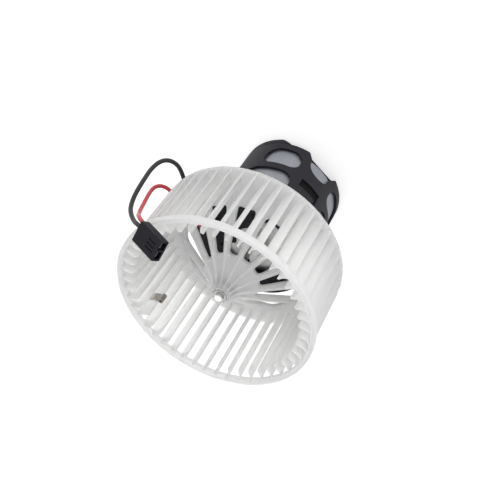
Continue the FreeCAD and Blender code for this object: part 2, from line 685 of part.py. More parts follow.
def side_pad(angle):
    """One thin rubber pad that steadies the can in the cage, behind a latch slot."""
    return sector(CAGE_INNER, CAN_RADIUS, SIDE_PAD_LOW, SIDE_PAD_LOW + SIDE_PAD_HEIGHT, angle, SIDE_PAD_SPAN)


# Fan wheel; the dome's line runs from the hub to its rim as shares of the way out and of the way down
DOME_LINE = (
    (0.0, 0.0115), (0.0138, 0.080), (0.067, 0.172), (0.168, 0.272), (0.292, 0.371),
    (0.440, 0.493), (0.594, 0.623), (0.787, 0.799), (0.913, 0.933), (1.0, 1.0),
)


def dome_edge(drop=0.0, last_drop=None):
    """The dome's section curve in the XZ plane, lowered by a drop."""
    width = DOME_RIM - HUB_RADIUS
    height = HUB_TOP - WHEEL_REAR - REAR_PLATE_THICKNESS
    points = [Vec(HUB_RADIUS + width * out, 0, HUB_TOP - height * down - drop) for out, down in DOME_LINE]
    if last_drop is not None:
        points[-1] = points[-1] + Vec(0, 0, drop - last_drop)
    curve = Part.BSplineCurve()
    curve.interpolate(points)
    return curve.toShape(), points


def wheel_dome():
    """The trumpet-shaped dome with its rear plate and hub."""
    top, top_points = dome_edge()
    under, under_points = dome_edge(DOME_SKIN, REAR_PLATE_THICKNESS)
    plate_top = WHEEL_REAR + REAR_PLATE_THICKNESS
    hub_low = HUB_TOP - HUB_LENGTH
    rim = [top_points[-1], Vec(BLADE_OUTER, 0, plate_top), Vec(BLADE_OUTER, 0, WHEEL_REAR), under_points[-1]]
    hub = [under_points[0], top_points[0]]
    edges = [top, under]
    edges += [Part.LineSegment(start, finish).toShape() for start, finish in zip(rim, rim[1:])]
    edges.append(Part.LineSegment(hub[0], hub[1]).toShape())
    outline = Part.Wire(Part.__sortEdges__(edges))
    skin = Part.Face(outline).revolve(ORIGIN, Z_AXIS, 360)
    tower = disc(HUB_RADIUS + 0.01, hub_low, HUB_TOP)
    return skin, tower


def dome_window():
    """A prism for one dome window, rounded at both ends."""
    half = math.radians(WINDOW_SPAN / 2)
    low = WHEEL_REAR - 1.0
    corners = [
        Vec(WINDOW_INNER, -WINDOW_INNER * math.tan(half), low), Vec(WINDOW_OUTER, -WINDOW_OUTER * math.tan(half), low),
        Vec(WINDOW_OUTER, WINDOW_OUTER * math.tan(half), low), Vec(WINDOW_INNER, WINDOW_INNER * math.tan(half), low),
    ]
    prism = Part.Face(Part.makePolygon(corners + corners[:1])).extrude(Vec(0, 0, WHEEL_HEIGHT))
    upright = [edge for edge in prism.Edges if edge.BoundBox.ZLength > 1]
    return prism.makeFillet(WINDOW_ROUND, upright)


def dome_rib():
    """One radial rib that stands on the dome between two windows."""
    raised, raised_points = dome_edge(-RIB_HEIGHT, -0.2)
    sunk, sunk_points = dome_edge(0.8, 0.8)
    edges = [
        raised, sunk,
        Part.LineSegment(raised_points[0], sunk_points[0]).toShape(),
        Part.LineSegment(raised_points[-1], sunk_points[-1]).toShape(),
    ]
    face = Part.Face(Part.Wire(Part.__sortEdges__(edges)))
    face.translate(Vec(0, -RIB_WIDTH / 2, 0))
    return face.extrude(Vec(0, RIB_WIDTH, 0))


def blade_section(inner, outer, lean, camber, thickness):
    """The curved section of one blade, from its inner to its outer edge."""
    lean_turn = math.radians(lean)
    start = Vec(inner, 0, 0)
    chord = (outer - inner) / math.cos(lean_turn)
    finish = start + Vec(chord * math.cos(lean_turn), -chord * math.sin(lean_turn), 0)
    across = (finish - start).cross(Z_AXIS)
    across.normalize()
    middle = (start + finish) * 0.5 + across * camber
    arc = Part.Arc(start, middle, finish).toShape().Curve
    centre = arc.Center
    corners = []
    for offset in (-thickness / 2, thickness / 2):
        row = []
        for point in (start, middle, finish):
            direction = point - centre
            direction.normalize()
            row.append(point + direction * offset)
        corners.append(row)
    edges = [Part.Arc(*corners[0]).toShape(), Part.Arc(*corners[1]).toShape()]
    edges.append(Part.LineSegment(corners[0][0], corners[1][0]).toShape())
    edges.append(Part.LineSegment(corners[0][2], corners[1][2]).toShape())
    return Part.Face(Part.Wire(Part.__sortEdges__(edges)))


def wheel_blade():
    """One blade, narrowed on its inner side towards the front ring."""
    low = WHEEL_REAR + REAR_PLATE_THICKNESS / 2
    high = WHEEL_FRONT - BLADE_TOP_SET
    face = blade_section(BLADE_INNER, BLADE_OUTER, BLADE_LEAN, BLADE_CAMBER, BLADE_THICKNESS)
    face.translate(Vec(0, 0, low))
    blade = face.extrude(Vec(0, 0, high - low))
    taper_top = RING_RADIUS - RING_WIDTH
    cone = lathe([
        (0, high - BLADE_CHAMFER_DEPTH), (BLADE_INNER - 1.0, high - BLADE_CHAMFER_DEPTH),
        (taper_top, high - 1.0), (taper_top, high + 1.0), (0, high + 1.0),
    ])
    return blade.cut(cone)


def front_ring():
    """The hoop round the blades' front ends."""
    inner = RING_RADIUS - RING_WIDTH
    low = WHEEL_FRONT - RING_HEIGHT
    return lathe([
        (inner, low + RING_HEIGHT * 0.45), (inner, WHEEL_FRONT - RING_ROUND), (inner + RING_ROUND, WHEEL_FRONT),
        (RING_RADIUS - RING_ROUND, WHEEL_FRONT), (RING_RADIUS, WHEEL_FRONT - RING_ROUND),
        (RING_RADIUS, low + RING_ROUND), (RING_RADIUS - RING_ROUND, low), (BLADE_OUTER - 0.3, low),
    ])


def fan_wheel():
    """The whole wheel as one moulding."""
    skin, tower = wheel_dome()
    window = dome_window()
    rib = dome_rib()
    pitch = 360.0 / WINDOW_COUNT
    skin = skin.cut([turned(window, pitch * index) for index in range(WINDOW_COUNT)])
    ribs = [turned(rib, pitch * (index + 0.5)) for index in range(WINDOW_COUNT)]
    blade = wheel_blade()
    blades = [turned(blade, BLADE_PHASE + 360.0 * index / BLADE_COUNT) for index in range(BLADE_COUNT)]
    body = skin.fuse([tower] + ribs)
    wheel = body.fuse([front_ring()] + blades)
    bore = disc(INSERT_RADIUS, HUB_TOP - INSERT_LENGTH, HUB_TOP + 1)
    passage = disc(SHAFT_RADIUS, HUB_TOP - HUB_LENGTH - 1, HUB_TOP)
    return wheel.cut(bore.fuse(passage))


def hub_insert():
    """The steel bush in the wheel's hub."""
    low = HUB_TOP - INSERT_LENGTH
    top = HUB_TOP + 0.3
    return lathe([
        (SHAFT_RADIUS, low), (INSERT_RADIUS, low), (INSERT_RADIUS, top - 0.4), (INSERT_RADIUS - 0.4, top),
        (SHAFT_RADIUS + 0.5, top), (SHAFT_RADIUS, top - 0.5),
    ])


def balance_clip():
    """A folded steel clip that hugs one blade and bows out round its inner edge."""
    pitch = 360.0 / BLADE_COUNT
    steps = round((CLIP_ANGLE - BLADE_PHASE) / pitch)
    angle = BLADE_PHASE + steps * pitch
    low = WHEEL_FRONT - CLIP_BELOW_FRONT - CLIP_LENGTH
    gap = BLADE_THICKNESS + 2 * CLIP_FIT
    along = Vec(0, 0, CLIP_LENGTH)
    legs = blade_section(BLADE_INNER, BLADE_OUTER, BLADE_LEAN, BLADE_CAMBER, gap + 2 * CLIP_SHEET).extrude(along)
    legs = legs.common(disc(BLADE_INNER + CLIP_REACH, 0.0, CLIP_LENGTH))
    bow_middle = Vec(BLADE_INNER - CLIP_BOW_RADIUS * 0.6, 0, 0)
    bow = disc(CLIP_BOW_RADIUS, 0.0, CLIP_LENGTH, bow_middle)
    room = disc(CLIP_BOW_RADIUS - CLIP_SHEET, 0.0, CLIP_LENGTH, bow_middle)
    slot = blade_section(BLADE_INNER, BLADE_OUTER, BLADE_LEAN, BLADE_CAMBER, gap).extrude(along)
    clip = legs.fuse(bow).cut(room.fuse(slot)).removeSplitter()
    clip.translate(Vec(0, 0, low))
    return turned(clip, angle)


# Leads and connector

def spread(point):
    """Moves a point of the leads out or in with the size of the wheel's ring."""
    radius = math.hypot(point.x, point.y)
    share = (RING_RADIUS - LEAD_EXIT_RADIUS) / (ROUTE_RING_RADIUS - LEAD_EXIT_RADIUS)
    factor = (LEAD_EXIT_RADIUS + (radius - LEAD_EXIT_RADIUS) * share) / radius
    return Vec(point.x * factor, point.y * factor, point.z)


def plug_frame():
    """The connector's corner and its directions: along, across and outwards to the broad face."""
    along = Vec(PLUG_ALONG)
    along.normalize()
    across = PLUG_ACROSS - along * PLUG_ACROSS.dot(along)
    across.normalize()
    outward = along.cross(across)
    corner = spread(PLUG_CORNER) + Vec(0, 0, WHEEL_FRONT) - outward * PLUG_DEPTH
    return corner, along, across, outward


def plug_place(shape):
    """Moves a shape from the connector's own axes to its place on the object."""
    corner, along, across, outward = plug_frame()
    matrix = FreeCAD.Matrix(
        along.x, across.x, outward.x, corner.x,
        along.y, across.y, outward.y, corner.y,
        along.z, across.z, outward.z, corner.z, 0, 0, 0, 1)
    placed = shape.copy()
    placed.Placement = FreeCAD.Placement(matrix)
    return placed


def port_point(share, along=0.0):
    """A point on a lead's line into the connector, as a share of its width."""
    corner, direction, across, outward = plug_frame()
    return corner + direction * along + across * (PLUG_WIDTH * share) + outward * (PLUG_DEPTH / 2)


def connector_housing():
    """The two-way housing with two cavities, rear ports, grip grooves and a latch."""
    body = Part.makeBox(PLUG_LENGTH, PLUG_WIDTH, PLUG_DEPTH)
    body = body.makeFillet(0.7, [edge for edge in body.Edges if abs(edge.tangentAt(edge.FirstParameter).x) > 0.9])
    cell = (PLUG_WIDTH - 3 * PLUG_WALL) / 2
    for index in range(2):
        start = PLUG_WALL + index * (cell + PLUG_WALL)
        cavity = Part.makeBox(CAVITY_DEPTH, cell, PLUG_DEPTH - 2 * PLUG_WALL,
                              Vec(PLUG_LENGTH - CAVITY_DEPTH, start, PLUG_WALL))
        body = body.cut(cavity)
    for share, diameter in ((BLACK_PORT, BLACK_DIAMETER), (RED_PORT, RED_DIAMETER)):
        centre = Vec(0, PLUG_WIDTH * share, PLUG_DEPTH / 2)
        body = body.cut(Part.makeCylinder(diameter / 2, SEAL_LENGTH, centre, Vec(1, 0, 0)))
    for index in range(GROOVE_COUNT):
        start = GROOVE_FIRST + GROOVE_PITCH * index
        groove = Part.makeBox(GROOVE_LENGTH, GROOVE_WIDTH, GROOVE_DEPTH,
                              Vec(GROOVE_START, start, PLUG_DEPTH - GROOVE_DEPTH))
        body = body.cut(groove)
    latch = Part.makeBox(9.0, 5.0, 1.2, Vec(7.0, 5.0, -1.2))
    return plug_place(body.fuse(latch).removeSplitter())


def terminal(index):
    """One receptacle terminal, a folded box with a wire barrel, in its cavity."""
    cell = (PLUG_WIDTH - 3 * PLUG_WALL) / 2
    middle = PLUG_WALL + cell / 2 + index * (cell + PLUG_WALL)
    end = PLUG_LENGTH - TERMINAL_SETBACK
    start = PLUG_LENGTH - CAVITY_DEPTH
    centre_z = PLUG_DEPTH / 2
    outside = Part.makeBox(end - start, TERMINAL_WIDTH, TERMINAL_HEIGHT,
                           Vec(start, middle - TERMINAL_WIDTH / 2, centre_z - TERMINAL_HEIGHT / 2))
    inside = Part.makeBox(end - start, TERMINAL_WIDTH - 2 * TERMINAL_SHEET, TERMINAL_HEIGHT - 2 * TERMINAL_SHEET,
                          Vec(start + 1.0, middle - TERMINAL_WIDTH / 2 + TERMINAL_SHEET,
                              centre_z - TERMINAL_HEIGHT / 2 + TERMINAL_SHEET))
    return plug_place(outside.cut(inside))


# Route points of the leads, height measured from the wheel's front plane
BLACK_ROUTE = (
    (-46.8, -3.4, -71.1), (-56.4, 1.4, -71.5), (-64.9, 8.6, -71.8), (-71.7, 17.0, -72.1), (-77.6, 25.8, -72.3), (-84.0, 29.4, -69.4),
    (-88.4, 30.4, -62.9), (-89.6, 28.8, -53.0), (-88.6, 28.7, -42.0), (-87.5, 27.7, -31.0), (-85.7, 26.0, -20.5),
    (-82.4, 26.6, -10.4), (-77.2, 31.2, -1.0),
)
RED_ROUTE = (
    (-48.0, -10.3, -71.2), (-57.6, -6.9, -71.5), (-66.7, -2.8, -71.7), (-75.0, 2.3, -71.7), (-81.0, 4.2, -68.3),
    (-84.0, 5.2, -62.2), (-83.6, 6.0, -53.0), (-81.6, 8.2, -41.0), (-79.8, 11.3, -30.0), (-77.3, 17.0, -19.0),
    (-75.6, 27.4, -10.8),
)


def exit_point(side, diameter):
    """Where a lead leaves the block on the cover, a little inside its face."""
    start = Vec(-LEAD_SUNK, side * LEAD_EXIT_PITCH / 2, COVER_TOP + diameter / 2 + LEAD_OVER_COVER)
    turn = FreeCAD.Rotation(Z_AXIS, LEAD_HEADING)
    return polar(LEAD_EXIT_RADIUS, LEAD_EXIT_ANGLE) + turn.multVec(start)


def lead_points(side, route, share, approach, diameter):
    """All points of one lead, from the block to the connector."""
    middle = [spread(Vec(x, y, z)) + Vec(0, 0, WHEEL_FRONT) for x, y, z in route]
    return [exit_point(side, diameter)] + middle + [port_point(share, -approach), port_point(share, SEAL_LENGTH)]


save("motor_cage", motor_cage())
save("cage_cover", cage_cover())
save("motor_can", motor_can())
save("end_plate", end_plate())
for number, angle in ((1, 90), (2, 270)):
    save("magnet_%d" % number, magnet(angle))
save("magnet_clips", Part.makeCompound([magnet_clip(0), magnet_clip(180)]))
save("front_bearing", bearing(front_bearing_low()))
save("rear_bearing", bearing(rear_bearing_low()))
front_seat = front_bearing_low()
save("front_bearing_retainer", bearing_retainer(FRONT_BOSS_RADIUS - BOSS_WALL, front_seat - RETAINER_THICKNESS, front_seat))
rear_seat = rear_bearing_low() + BEARING_LENGTH
save("rear_bearing_retainer", bearing_retainer(REAR_BOSS_RADIUS - BOSS_WALL, rear_seat, rear_seat + RETAINER_THICKNESS))
save("rotor_shaft", rotor_shaft())
save("armature_core", armature_core())
save("armature_winding", armature_winding())
save("commutator", commutator())
save("shaft_washers", shaft_washers())
save("brush_plate", brush_plate())
for number, angle in ((1, 0), (2, 180)):
    save("brush_box_%d" % number, brush_box(angle))
    save("brush_%d" % number, brush(angle))
    save("brush_spring_%d" % number, brush_spring(angle))
for number, angle in ((1, 60), (2, 120)):
    save("choke_%d" % number, choke(angle))
save("capacitor", capacitor())
save("front_damper", front_damper())
save("rear_damper", rear_damper())
save("side_dampers", Part.makeCompound([side_pad(NOTCH_ANGLE + side) for side in CAGE_SIDES]))
save("fan_wheel", fan_wheel())
save("hub_insert", hub_insert())
save("balance_clip", balance_clip())
save("connector_housing", connector_housing())
save("terminal_red", terminal(1))
save("terminal_black", terminal(0))
black_points = lead_points(-1, BLACK_ROUTE, BLACK_PORT, BLACK_APPROACH, BLACK_DIAMETER)
red_points = lead_points(1, RED_ROUTE, RED_PORT, RED_APPROACH, RED_DIAMETER)
save("lead_black", tube(black_points, BLACK_DIAMETER, "lead_black"))
save("lead_red", tube(red_points, RED_DIAMETER, "lead_red"))
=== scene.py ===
import json
import math

import bmesh
import bpy
from mathutils import Matrix, Vector


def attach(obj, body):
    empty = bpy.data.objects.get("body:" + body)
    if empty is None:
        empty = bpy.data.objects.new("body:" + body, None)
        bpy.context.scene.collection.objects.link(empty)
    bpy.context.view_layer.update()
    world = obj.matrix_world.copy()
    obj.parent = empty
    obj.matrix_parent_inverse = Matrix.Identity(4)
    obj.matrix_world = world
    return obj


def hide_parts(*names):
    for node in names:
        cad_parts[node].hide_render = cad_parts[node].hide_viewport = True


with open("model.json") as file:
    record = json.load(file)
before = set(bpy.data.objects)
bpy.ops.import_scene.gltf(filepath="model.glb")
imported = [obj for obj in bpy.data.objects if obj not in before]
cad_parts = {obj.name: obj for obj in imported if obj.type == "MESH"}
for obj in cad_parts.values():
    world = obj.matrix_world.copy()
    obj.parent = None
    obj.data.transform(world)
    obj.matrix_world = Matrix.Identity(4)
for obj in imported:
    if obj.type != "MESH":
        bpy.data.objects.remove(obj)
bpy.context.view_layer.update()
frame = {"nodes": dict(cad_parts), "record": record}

MM = 0.001

# Heights of the part in its own frame, in mm as all sizes of the part here
WHEEL_FRONT = 153.9
WHEEL_HEIGHT = 67.3
COVER_TOP = 80.9

# Camera, from the photograph's perspective
CAMERA_PLACE = (0.38, 457.89, 528.75)
CAMERA_RIGHT = (0.8397, 0.3767, -0.3910)
CAMERA_UP = (-0.5430, 0.5826, -0.6047)
CAMERA_BACK = (0.0, 0.7201, 0.6938)
CAMERA_LENS = 61.63
CAMERA_CLIP_START = 0.01
SENSOR = 36.0

# Lights: places and sizes in metres, powers in watts, and the world's strength by height
WHITE = (1.0, 1.0, 1.0, 1.0)
WORLD_TOP = 0.40
WORLD_HORIZON = 0.92
WORLD_TURN = 0.75
LAMP_AIM = (0.0, 0.0, 0.08)
KEY_PLACE = (-0.2, 1.6, 0.55)
KEY_POWER = 7.8
KEY_SIZE = 1.1
FILL_PLACE = (1.25, 0.8, 0.5)
FILL_POWER = 2.6
FILL_SIZE = 1.2
BACK_PLACE = (-0.2, -1.5, 0.5)
BACK_POWER = 10.0
BACK_SIZE = 1.4

# Floor
FLOOR_SIZE = 8.0
FLOOR_COLOUR = (0.9, 0.9, 0.9, 1.0)
FLOOR_GLOW = 0.55

# Surfaces: noise scales, how much the gloss varies and how deep the grain is
NOISE_DETAIL = 4.0
NOISE_ROUGHNESS = 0.55
GRAIN_DEPTH = 0.0001
MOTTLE_FROM = 0.35
MOTTLE_TO = 0.65
GLOSS_FROM = 0.3
GLOSS_TO = 0.7
PLASTIC_MOTTLE = 60.0
PLASTIC_GRAIN = 900.0
PLASTIC_GRAIN_DETAIL = 3.0
PLASTIC_GLOSS_SPREAD = 0.05
PLAIN_REFLECTION = 0.5
METAL_MOTTLE = 40.0
METAL_GRAIN = 400.0
METAL_BUMP = 0.05
METAL_GLOSS_BELOW = 0.06
METAL_GLOSS_ABOVE = 0.08
WHEEL_SCATTER = (1.0, 1.0, 0.95)
WHEEL_SCATTER_DEPTH = 0.014

# Wheel: the blades, which are made anew above the rear plate
PLATE_THICKNESS = 2.0
PLATE_OVERLAP = 0.6
BLADE_COUNT = 47
BLADE_PHASE = 4.63
BLADE_INNER = 62.2
BLADE_OUTER = 72.3
BLADE_LEAN = 21.5
BLADE_CAMBER = -2.1
BLADE_THICKNESS = 0.95
BLADE_TOP_SET = 1.6
BLADE_STEPS = 8
TIP_CHAMFER_DEPTH = 1.6
TIP_CHAMFER_RADIUS = 64.2

# Wheel: the blade under the balance clip, which keeps the solids' section
CLIP_BLADE_ANGLE = 231.94
CLIP_BLADE_INNER = 61.2
CLIP_BLADE_LEAN = 15.0
CLIP_BLADE_CAMBER = 1.1
CLIP_BLADE_THICKNESS = 1.15

# Wheel: how far the shapes that cut it reach past what they cut away
OLD_BLADE_ROOM_INSIDE = 0.5
OLD_BLADE_ROOM = 1.0
CHAMFER_ROOM_INSIDE = 3.0
CHAMFER_ROOM_ABOVE = 2.0

# Wheel: the front ring's section
RING_RADIUS = 75.0
RING_WIDTH = 3.5
RING_HEIGHT = 6.0
RING_INNER_START = 0.42
RING_ROUND = 1.1
RING_ROUND_SIDE = 0.3
RING_ROUND_DROP = 0.45
RING_LOW_CHAMFER = 0.8
RING_LOW_WIDTH = 3.0
RING_STEPS = 212
SMOOTH_ANGLE = 32.0

# Leads and where they leave the block on the cover
BLACK_DIAMETER = 3.3
RED_DIAMETER = 3.0
EXIT_RADIUS = 39.0
EXIT_ANGLE = 193.0
EXIT_SUNK = 0.4
EXIT_PITCH = 7.0
HEADING = 168.0
OVER_COVER = 0.4
LEAD_STEPS = 10
LEAD_ROUND_STEPS = 8

# Connector: its corner from the middle of the wheel's front, its directions and its ports' places across it
PLUG_WIDTH = 15.2
PLUG_DEPTH = 7.4
PLUG_CORNER = Vector((-68.1, 29.7, 13.2))
PLUG_ALONG = Vector((0.8218, 0.2823, 0.4950))
PLUG_ACROSS = Vector((-0.0440, 0.8980, -0.4378))
SEAL_LENGTH = 1.6
BLACK_PORT = 0.62
RED_PORT = 0.87
BLACK_APPROACH = 4.5
RED_APPROACH = 5.0

# The solids' routes from the middle of the wheel's front, moved a little to follow the photograph
BLACK_ROUTE = (
    (-46.8, -3.4, -71.1), (-55.2, 2.6, -71.5), (-62.4, 11.4, -71.8), (-69.2, 20.2, -72.1),
    (-76.2, 27.4, -72.3), (-83.2, 30.2, -69.4), (-88.0, 30.4, -62.9), (-89.6, 28.8, -53.0),
    (-88.6, 28.7, -42.0), (-87.5, 27.7, -31.0), (-85.7, 26.0, -20.5), (-82.0, 26.6, -10.2),
    (-74.6, 30.7, -0.6),
)
RED_ROUTE = (
    (-48.0, -10.3, -71.2), (-57.6, -6.9, -71.5), (-66.7, -2.8, -71.7), (-75.0, 2.3, -71.7),
    (-81.0, 4.2, -68.3), (-84.0, 5.2, -62.2), (-83.6, 6.0, -53.0), (-81.6, 8.2, -41.0),
    (-79.8, 11.3, -30.0), (-77.3, 17.0, -19.0), (-75.6, 27.4, -10.8),
)


# Materials, by the names of the record's slots

materials = {}


def new_material(name):
    """A node material with a Principled shader, kept under its slot's name."""
    material = bpy.data.materials.new(name)
    materials[name] = material
    material.use_nodes = True
    tree = material.node_tree
    tree.nodes.clear()
    output = tree.nodes.new("ShaderNodeOutputMaterial")
    shader = tree.nodes.new("ShaderNodeBsdfPrincipled")
    tree.links.new(shader.outputs["BSDF"], output.inputs["Surface"])
    return tree, shader


def add_noise(tree, scale, detail=NOISE_DETAIL):
    """A noise texture in object space."""
    place = tree.nodes.new("ShaderNodeTexCoord")
    noise = tree.nodes.new("ShaderNodeTexNoise")
    noise.inputs["Scale"].default_value = scale
    noise.inputs["Detail"].default_value = detail
    noise.inputs["Roughness"].default_value = NOISE_ROUGHNESS
    tree.links.new(place.outputs["Object"], noise.inputs["Vector"])
    return noise


def add_colour(tree, shader, source, low, high):
    """The base colour: a ramp between two colours by a noise."""
    ramp = tree.nodes.new("ShaderNodeValToRGB")
    ramp.color_ramp.elements[0].position = MOTTLE_FROM
    ramp.color_ramp.elements[0].color = (*low, 1.0)
    ramp.color_ramp.elements[1].position = MOTTLE_TO
    ramp.color_ramp.elements[1].color = (*high, 1.0)
    tree.links.new(source, ramp.inputs["Fac"])
    tree.links.new(ramp.outputs["Color"], shader.inputs["Base Color"])


def add_gloss(tree, shader, source, low, high):
    """The roughness: a range of values by a noise."""
    span = tree.nodes.new("ShaderNodeMapRange")
    span.inputs["From Min"].default_value = GLOSS_FROM
    span.inputs["From Max"].default_value = GLOSS_TO
    span.inputs["To Min"].default_value = low
    span.inputs["To Max"].default_value = high
    tree.links.new(source, span.inputs["Value"])
    tree.links.new(span.outputs["Result"], shader.inputs["Roughness"])


def add_bump(tree, shader, source, strength):
    """A fine grain from a noise."""
    bump = tree.nodes.new("ShaderNodeBump")
    bump.inputs["Strength"].default_value = strength
    bump.inputs["Distance"].default_value = GRAIN_DEPTH
    tree.links.new(source, bump.inputs["Height"])
    tree.links.new(bump.outputs["Normal"], shader.inputs["Normal"])


def plastic(name, low, high, rough, bump=0.15, reflection=PLAIN_REFLECTION, scatter=0.0):
    """Moulded plastic or rubber: slight mottle in colour and gloss, with a fine grain."""
    tree, shader = new_material(name)
    broad = add_noise(tree, PLASTIC_MOTTLE)
    fine = add_noise(tree, PLASTIC_GRAIN, PLASTIC_GRAIN_DETAIL)
    add_colour(tree, shader, broad.outputs["Fac"], low, high)
    add_gloss(tree, shader, broad.outputs["Fac"], rough - PLASTIC_GLOSS_SPREAD, rough + PLASTIC_GLOSS_SPREAD)
    add_bump(tree, shader, fine.outputs["Fac"], bump)
    shader.inputs["Specular IOR Level"].default_value = reflection
    if scatter:
        shader.inputs["Subsurface Weight"].default_value = scatter
        shader.inputs["Subsurface Radius"].default_value = WHEEL_SCATTER
        shader.inputs["Subsurface Scale"].default_value = WHEEL_SCATTER_DEPTH


def metal(name, low, high, rough, stretch=(1.0, 1.0, 1.0)):
    """Bare metal: colour mottle, gloss variation and, where the grain is stretched, drawn lines."""
    tree, shader = new_material(name)
    shader.inputs["Metallic"].default_value = 1.0
    place = tree.nodes.new("ShaderNodeTexCoord")
    mapping = tree.nodes.new("ShaderNodeMapping")
    mapping.inputs["Scale"].default_value = stretch
    tree.links.new(place.outputs["Object"], mapping.inputs["Vector"])
    fine = tree.nodes.new("ShaderNodeTexNoise")
    fine.inputs["Scale"].default_value = METAL_GRAIN
    fine.inputs["Detail"].default_value = NOISE_DETAIL
    tree.links.new(mapping.outputs["Vector"], fine.inputs["Vector"])
    broad = add_noise(tree, METAL_MOTTLE)
    add_colour(tree, shader, broad.outputs["Fac"], low, high)
    add_gloss(tree, shader, fine.outputs["Fac"], rough - METAL_GLOSS_BELOW, rough + METAL_GLOSS_ABOVE)
    add_bump(tree, shader, fine.outputs["Fac"], METAL_BUMP)


def make_materials():
    """One material for each of the record's slots."""
    plastic("wheel_plastic", (0.978, 0.980, 0.966), (0.988, 0.989, 0.978), 0.45, bump=0.08, scatter=1.0)
    plastic("cage_plastic", (0.005, 0.005, 0.009), (0.008, 0.0075, 0.014), 0.66, bump=0.3, reflection=0.36)
    plastic("plug_plastic", (0.004, 0.0035, 0.0075), (0.007, 0.0065, 0.0115), 0.55, reflection=0.22)
    # Black rubber, made near-black so that the side pads in the cage's latch slots stand in for the slots' deep
    # shade: painted shade.
    plastic("rubber", (0.004, 0.004, 0.004), (0.007, 0.007, 0.007), 0.75, reflection=0.12)
    plastic("lead_black", (0.006, 0.006, 0.007), (0.010, 0.010, 0.011), 0.35, bump=0.05)
    plastic("lead_red", (0.56, 0.035, 0.050), (0.63, 0.050, 0.068), 0.33, bump=0.05)
    plastic("ferrite", (0.035, 0.035, 0.038), (0.05, 0.05, 0.052), 0.6)
    plastic("nylon", (0.66, 0.63, 0.54), (0.72, 0.70, 0.61), 0.45)
    plastic("board", (0.014, 0.013, 0.012), (0.022, 0.020, 0.018), 0.5)
    plastic("carbon", (0.018, 0.018, 0.019), (0.03, 0.03, 0.031), 0.55)
    plastic("capacitor_skin", (0.50, 0.22, 0.03), (0.58, 0.27, 0.04), 0.25)
    metal("can_steel", (0.27, 0.28, 0.31), (0.32, 0.33, 0.36), 0.5, stretch=(1.0, 1.0, 0.1))
    metal("plate_steel", (0.55, 0.55, 0.54), (0.62, 0.62, 0.61), 0.34)
    metal("shaft_steel", (0.70, 0.70, 0.69), (0.76, 0.76, 0.75), 0.22, stretch=(1.0, 1.0, 8.0))
    metal("insert_steel", (0.40, 0.40, 0.40), (0.47, 0.47, 0.46), 0.38)
    metal("spring_steel", (0.42, 0.42, 0.43), (0.50, 0.50, 0.50), 0.3)
    metal("bush_bronze", (0.42, 0.27, 0.14), (0.50, 0.33, 0.18), 0.45)
    metal("clip_steel", (0.40, 0.37, 0.34), (0.48, 0.45, 0.42), 0.32)
    metal("lamination", (0.20, 0.20, 0.21), (0.27, 0.27, 0.28), 0.45, stretch=(0.2, 0.2, 9.0))
    metal("enamel_wire", (0.48, 0.17, 0.06), (0.58, 0.24, 0.09), 0.3, stretch=(1.0, 1.0, 0.2))
    metal("copper", (0.62, 0.30, 0.17), (0.72, 0.38, 0.23), 0.3)
    metal("box_brass", (0.62, 0.46, 0.17), (0.70, 0.54, 0.22), 0.3)
    metal("terminal_metal", (0.72, 0.72, 0.69), (0.80, 0.80, 0.77), 0.25)


def dress_nodes():
    """Gives each CAD node its slot's material."""
    slots = {entry["node"]: entry["material_slot"] for entry in frame["record"]["subparts"]}
    for name, node in frame["nodes"].items():
        node.data.materials.clear()
        node.data.materials.append(materials[slots[name]])


# Wheel

def new_object(name, data):
    """An object in the scene."""
    item = bpy.data.objects.new(name, data)
    bpy.context.scene.collection.objects.link(item)
    return item


def mesh_from(form, name):
    """A mesh from an edited form, with its faces turned outwards."""
    bmesh.ops.recalc_face_normals(form, faces=form.faces)
    mesh = bpy.data.meshes.new(name)
    form.to_mesh(mesh)
    form.free()
    return mesh


def lathe_mesh(name, profile):
    """A closed ring mesh from a closed loop of (radius, height) corners."""
    form = bmesh.new()
    rows = []
    for index in range(RING_STEPS):
        turn = 2 * math.pi * index / RING_STEPS
        rows.append([form.verts.new((radius * math.cos(turn) * MM, radius * math.sin(turn) * MM, height * MM))
                     for radius, height in profile])
    count = len(profile)
    for index in range(RING_STEPS):
        ahead = rows[(index + 1) % RING_STEPS]
        for corner in range(count):
            after = (corner + 1) % count
            form.faces.new((rows[index][corner], ahead[corner], ahead[after], rows[index][after]))
    return mesh_from(form, name)


def combine(base, other, operation):
    """The exact boolean of two meshes."""
    first = new_object("first", base)
    second = new_object("second", other)
    modifier = first.modifiers.new("join", "BOOLEAN")
    modifier.operation = operation
    modifier.solver = "EXACT"
    modifier.object = second
    bpy.context.view_layer.update()
    graph = bpy.context.evaluated_depsgraph_get()
    mesh = bpy.data.meshes.new_from_object(first.evaluated_get(graph))
    for item in (first, second):
        bpy.data.objects.remove(item)
    return mesh


def blade_section(inner, lean, camber, thickness):
    """The corners of a blade's curved section, down one side and back up the other."""
    turn = math.radians(lean)
    chord = (BLADE_OUTER - inner) / math.cos(turn)
    along = Vector((math.cos(turn), -math.sin(turn)))
    across = Vector((along.y, -along.x))
    near = []
    far = []
    for step in range(BLADE_STEPS + 1):
        share = step / BLADE_STEPS
        middle = Vector((inner, 0.0)) + along * (chord * share) + across * (camber * 4 * share * (1 - share))
        slope = (along * chord + across * (camber * 4 * (1 - 2 * share))).normalized()
        side = Vector((slope.y, -slope.x)) * (thickness / 2)
        near.append(middle + side)
        far.append(middle - side)
    return near + far[::-1]


def blade_angle(index):
    """A blade's direction from the axis in degrees."""
    return BLADE_PHASE + index * 360.0 / BLADE_COUNT


def clip_blade_index():
    """The blade nearest to the solids' balance clip."""
    return round((CLIP_BLADE_ANGLE - BLADE_PHASE) * BLADE_COUNT / 360.0)


